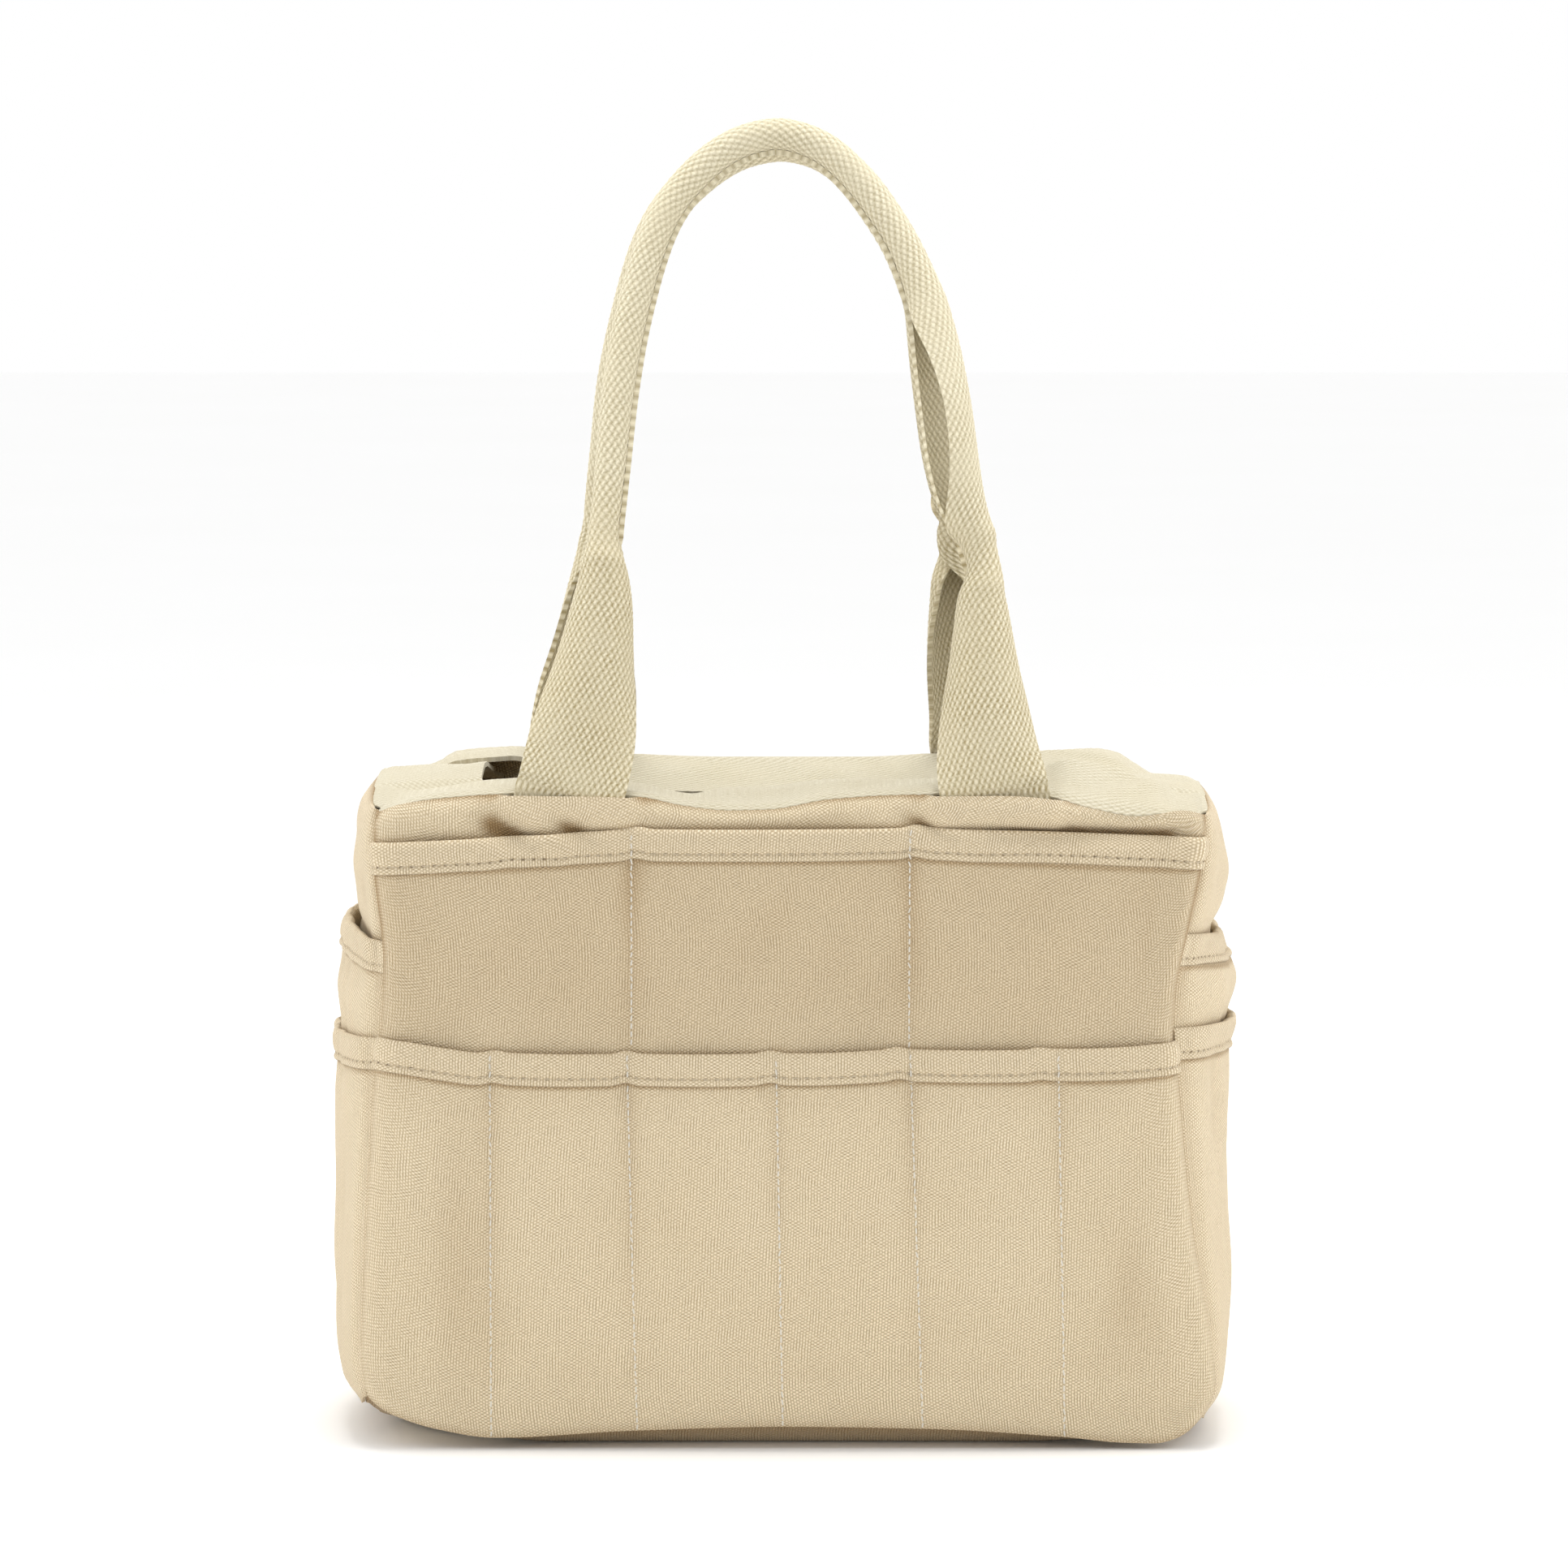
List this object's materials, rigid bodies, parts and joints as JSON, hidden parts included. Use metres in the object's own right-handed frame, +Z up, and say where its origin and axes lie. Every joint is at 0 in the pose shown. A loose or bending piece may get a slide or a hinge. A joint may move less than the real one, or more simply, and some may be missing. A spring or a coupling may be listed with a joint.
{
  "type": "garden tool bag",
  "caption": "Soft canvas tote for garden tools, with two tiers of bound outside pockets, an inward-lying webbing rim and two wrapped webbing handles.",
  "frame": {"origin": "on the ground under the middle of the bag", "axes": "+X along the front to its right-hand end, -Y out of the front, +Z up"},
  "size_m": [0.3222, 0.1782, 0.4651],
  "materials": {
    "canvas": "matt plain-weave cotton duck",
    "binding_tape": "matt folded cotton strip",
    "webbing": "matt heavy cotton webbing",
    "core_cord": "matt cotton cord"
  },
  "bodies": {
    "bag": {"back_handle_left_end": "webbing", "back_handle_right_end": "webbing", "back_lower_pocket": "canvas", "back_lower_pocket_binding": "binding_tape", "back_panel": "canvas", "back_rim_webbing": "webbing", "back_upper_pocket": "canvas", "back_upper_pocket_binding": "binding_tape", "base_panel": "canvas", "front_handle_left_end": "webbing", "front_handle_right_end": "webbing", "front_lower_pocket": "canvas", "front_lower_pocket_binding": "binding_tape", "front_panel": "canvas", "front_rim_webbing": "webbing", "front_upper_pocket": "canvas", "front_upper_pocket_binding": "binding_tape", "left_lower_pocket": "canvas", "left_lower_pocket_binding": "binding_tape", "left_panel": "canvas", "left_rim_webbing": "webbing", "left_upper_pocket": "canvas", "left_upper_pocket_binding": "binding_tape", "right_lower_pocket": "canvas", "right_lower_pocket_binding": "binding_tape", "right_panel": "canvas", "right_rim_webbing": "webbing", "right_upper_pocket": "canvas", "right_upper_pocket_binding": "binding_tape"},
    "front_handle": {"front_handle_core": "core_cord", "front_handle_webbing": "webbing"},
    "back_handle": {"back_handle_core": "core_cord", "back_handle_webbing": "webbing"}
  },
  "joints": [
    {"name": "front_handle_fold", "type": "hinge", "parent": "bag", "child": "front_handle", "pos_m": [0, -0.0748, 0.2322], "axis": [1, 0, 0], "range_deg": [0, 160]},
    {"name": "back_handle_fold", "type": "hinge", "parent": "bag", "child": "back_handle", "pos_m": [0, 0.0748, 0.2322], "axis": [-1, 0, 0], "range_deg": [0, 160]}
  ]
}
